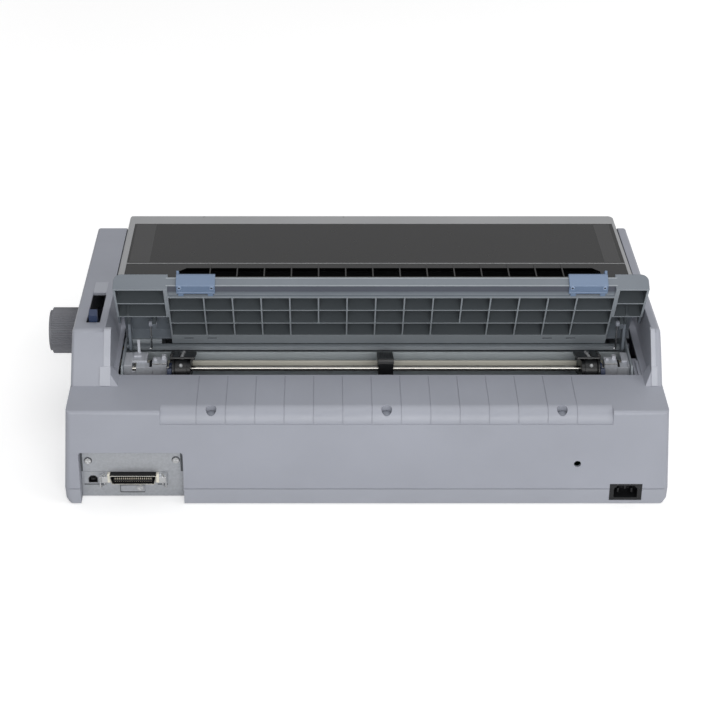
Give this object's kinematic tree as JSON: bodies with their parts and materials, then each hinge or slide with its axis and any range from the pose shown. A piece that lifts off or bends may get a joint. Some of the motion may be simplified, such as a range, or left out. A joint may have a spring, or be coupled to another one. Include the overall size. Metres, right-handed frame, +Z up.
{
  "type": "dot matrix printer",
  "caption": "Wide carriage dot matrix printer with smoky cover, raised paper guide, tractor feed, side feed knob and rear sockets.",
  "frame": {"origin": "centre of the bounding box on the surface the feet stand on", "axes": "+X towards the side with the feed knob, the machine's longest way; +Y towards the rear with the sockets; +Z up"},
  "size_m": [0.6492, 0.402, 0.2075],
  "materials": {
    "case_plastic": "fine moulded texture",
    "tray_plastic": "fine moulded texture",
    "cover_plastic": "fine moulded texture",
    "smoky_plastic": "smoky, glossy",
    "guide_plastic": "satin moulded",
    "blue_plastic": "satin moulded",
    "lever_plastic": "satin moulded",
    "knob_plastic": "ribbed",
    "black_plastic": "satin",
    "navy_plastic": "satin",
    "grey_plastic": "satin",
    "button_plastic": "satin",
    "gear_plastic": "natural",
    "cream_metal": "satin",
    "dark_frame": "dark zinc",
    "steel_plate": "zinc plated",
    "steel": "ground",
    "chrome": "polished",
    "brass": "machined",
    "rubber": "ground rubber",
    "foot_rubber": "moulded",
    "board": "solder mask",
    "lens": "clear green"
  },
  "bodies": {
    "case": {"base_tray": "tray_plastic", "feet": "foot_rubber", "upper_case": "case_plastic", "screws": "steel", "chassis_plate": "steel_plate", "left_side_frame": "dark_frame", "right_side_frame": "dark_frame", "interface_panel": "steel_plate", "option_plate": "steel_plate", "usb_socket": "black_plastic", "parallel_socket": "cream_metal", "ac_inlet": "black_plastic", "control_panel": "grey_plastic", "indicator_lenses": "lens", "tractor_support_shaft": "chrome", "tractor_brackets": "steel_plate", "lower_paper_plate": "dark_frame", "upper_paper_rail": "dark_frame", "stepper_motors": "dark_frame", "carriage_shaft": "chrome", "carriage_belt": "rubber", "ribbon_cartridge": "black_plastic", "circuit_boards": "board"},
    "left_wire_bail": {"left_wire_bail": "cream_metal"},
    "right_wire_bail": {"right_wire_bail": "cream_metal"},
    "pause_button": {"pause_button": "button_plastic"},
    "feed_button": {"feed_button": "button_plastic"},
    "load_button": {"load_button": "button_plastic"},
    "power_switch": {"power_switch": "black_plastic"},
    "cover": {"top_cover": "cover_plastic", "cover_window": "smoky_plastic", "paper_exit_grille": "smoky_plastic"},
    "paper_guide": {"paper_guide": "guide_plastic"},
    "guide_stays": {"guide_stays": "steel"},
    "left_edge_guide": {"left_edge_guide": "blue_plastic"},
    "right_edge_guide": {"right_edge_guide": "blue_plastic"},
    "release_lever": {"release_lever": "lever_plastic"},
    "platen": {"platen_knob": "knob_plastic", "platen_shaft": "steel", "platen_roller": "rubber", "platen_gear": "gear_plastic"},
    "motor_pinion": {"motor_pinion": "brass"},
    "idler_gear": {"idler_gear": "gear_plastic"},
    "tractor_drive": {"tractor_gear": "gear_plastic", "tractor_drive_shaft": "cream_metal"},
    "left_tractor": {"left_tractor": "black_plastic", "left_pin_belt": "black_plastic"},
    "right_tractor": {"right_tractor": "black_plastic", "right_pin_belt": "black_plastic"},
    "left_sprocket": {"left_sprocket": "gear_plastic"},
    "right_sprocket": {"right_sprocket": "gear_plastic"},
    "left_tractor_cover": {"left_tractor_cover": "black_plastic"},
    "right_tractor_cover": {"right_tractor_cover": "black_plastic"},
    "left_lock_lever": {"left_lock_lever": "navy_plastic"},
    "right_lock_lever": {"right_lock_lever": "navy_plastic"},
    "paper_support": {"paper_support": "black_plastic"},
    "carriage": {"carriage": "black_plastic", "print_head": "dark_frame"},
    "drive_pulley": {"drive_pulley": "steel"},
    "idler_pulley": {"idler_pulley": "steel"}
  },
  "joints": [
    {"name": "cover_hinge", "type": "hinge", "parent": "case", "child": "cover", "pos_m": [0, 0.014, 0.132], "axis": [-1, 0, 0], "range_deg": [0, 70]},
    {"name": "guide_tilt", "type": "hinge", "parent": "case", "child": "paper_guide", "pos_m": [0, 0.052, 0.102], "axis": [1, 0, 0], "range_deg": [-50, 0]},
    {"name": "stay_swing", "type": "hinge", "parent": "paper_guide", "child": "guide_stays", "pos_m": [0, 0.0594, 0.13372], "axis": [1, 0, 0], "range_deg": [0, 51]},
    {"name": "left_edge_guide_slide", "type": "slide", "parent": "paper_guide", "child": "left_edge_guide", "axis": [1, 0, 0], "range_m": [0, 0.15]},
    {"name": "right_edge_guide_slide", "type": "slide", "parent": "paper_guide", "child": "right_edge_guide", "axis": [1, 0, 0], "range_m": [-0.15, 0]},
    {"name": "release_lever_tilt", "type": "hinge", "parent": "case", "child": "release_lever", "pos_m": [0, 0.066, 0.06], "axis": [1, 0, 0], "range_deg": [0, 30]},
    {"name": "platen_spin", "type": "hinge", "parent": "case", "child": "platen", "pos_m": [0, 0.008, 0.097], "axis": [1, 0, 0], "continuous": true},
    {"name": "motor_pinion_spin", "type": "hinge", "parent": "case", "child": "motor_pinion", "pos_m": [0, -0.00228, 0.06876], "axis": [1, 0, 0], "continuous": true},
    {"name": "idler_gear_spin", "type": "hinge", "parent": "case", "child": "idler_gear", "pos_m": [0, 0.03733, 0.07355], "axis": [1, 0, 0], "continuous": true},
    {"name": "tractor_drive_spin", "type": "hinge", "parent": "case", "child": "tractor_drive", "pos_m": [0, 0.0605, 0.086], "axis": [1, 0, 0], "continuous": true},
    {"name": "left_tractor_slide", "type": "slide", "parent": "case", "child": "left_tractor", "axis": [1, 0, 0], "range_m": [0, 0.06]},
    {"name": "right_tractor_slide", "type": "slide", "parent": "case", "child": "right_tractor", "axis": [1, 0, 0], "range_m": [-0.1, 0]},
    {"name": "left_sprocket_spin", "type": "hinge", "parent": "left_tractor", "child": "left_sprocket", "pos_m": [-0.24875, 0.0605, 0.086], "axis": [1, 0, 0], "continuous": true},
    {"name": "right_sprocket_spin", "type": "hinge", "parent": "right_tractor", "child": "right_sprocket", "pos_m": [0.17725, 0.0605, 0.086], "axis": [1, 0, 0], "continuous": true},
    {"name": "left_tractor_cover_hinge", "type": "hinge", "parent": "left_tractor", "child": "left_tractor_cover", "pos_m": [-0.26125, 0.07492, 0.1044], "axis": [0, -0.9351, -0.3543], "range_deg": [0, 90]},
    {"name": "right_tractor_cover_hinge", "type": "hinge", "parent": "right_tractor", "child": "right_tractor_cover", "pos_m": [0.18945, 0.07492, 0.1044], "axis": [0, 0.9351, 0.3543], "range_deg": [0, 90]},
    {"name": "left_lock_lever_tilt", "type": "hinge", "parent": "left_tractor", "child": "left_lock_lever", "pos_m": [-0.26125, 0.09267, 0.09819], "axis": [1, 0, 0], "range_deg": [0, 35]},
    {"name": "right_lock_lever_tilt", "type": "hinge", "parent": "right_tractor", "child": "right_lock_lever", "pos_m": [0.18945, 0.09267, 0.09819], "axis": [1, 0, 0], "range_deg": [0, 35]},
    {"name": "paper_support_slide", "type": "slide", "parent": "case", "child": "paper_support", "axis": [1, 0, 0], "range_m": [-0.08, 0.08]},
    {"name": "carriage_slide", "type": "slide", "parent": "case", "child": "carriage", "axis": [1, 0, 0], "range_m": [-0.035, 0.355]},
    {"name": "drive_pulley_spin", "type": "hinge", "parent": "case", "child": "drive_pulley", "pos_m": [-0.26875, -0.075, 0.069], "axis": [0, 0, 1], "range_deg": [-2500, 250]},
    {"name": "idler_pulley_spin", "type": "hinge", "parent": "case", "child": "idler_pulley", "pos_m": [0.21925, -0.075, 0.069], "axis": [0, 0, 1], "range_deg": [-2500, 250]},
    {"name": "pause_button_push", "type": "slide", "parent": "case", "child": "pause_button", "axis": [0, 1, 0], "range_m": [0, 0.001], "stiffness_N_per_m": 300, "springref_m": -0.002},
    {"name": "feed_button_push", "type": "slide", "parent": "case", "child": "feed_button", "axis": [0, 1, 0], "range_m": [0, 0.001], "stiffness_N_per_m": 300, "springref_m": -0.002},
    {"name": "load_button_push", "type": "slide", "parent": "case", "child": "load_button", "axis": [0, 1, 0], "range_m": [0, 0.001], "stiffness_N_per_m": 300, "springref_m": -0.002},
    {"name": "power_switch_rock", "type": "hinge", "parent": "case", "child": "power_switch", "pos_m": [-0.26475, -0.1935, 0.048], "axis": [-1, 0, 0], "range_deg": [0, 14]},
    {"name": "left_bail_swing", "type": "hinge", "parent": "case", "child": "left_wire_bail", "pos_m": [0.19455, 0.1897, 0.023], "axis": [0, 0, -1], "range_deg": [-15, 45]},
    {"name": "right_bail_swing", "type": "hinge", "parent": "case", "child": "right_wire_bail", "pos_m": [0.25455, 0.1897, 0.023], "axis": [0, 0, 1], "range_deg": [-15, 45]}
  ],
  "couplings": [
    {"joint": "motor_pinion_spin", "follows": "platen_spin", "ratio": -3},
    {"joint": "idler_gear_spin", "follows": "platen_spin", "ratio": -1.5},
    {"joint": "tractor_drive_spin", "follows": "platen_spin", "ratio": 2},
    {"joint": "left_sprocket_spin", "follows": "platen_spin", "ratio": 2},
    {"joint": "right_sprocket_spin", "follows": "platen_spin", "ratio": 2},
    {"joint": "stay_swing", "follows": "guide_tilt", "ratio": -1},
    {"joint": "drive_pulley_spin", "follows": "carriage_slide", "rad_per_m": -122.7},
    {"joint": "idler_pulley_spin", "follows": "carriage_slide", "rad_per_m": -122.7}
  ]
}
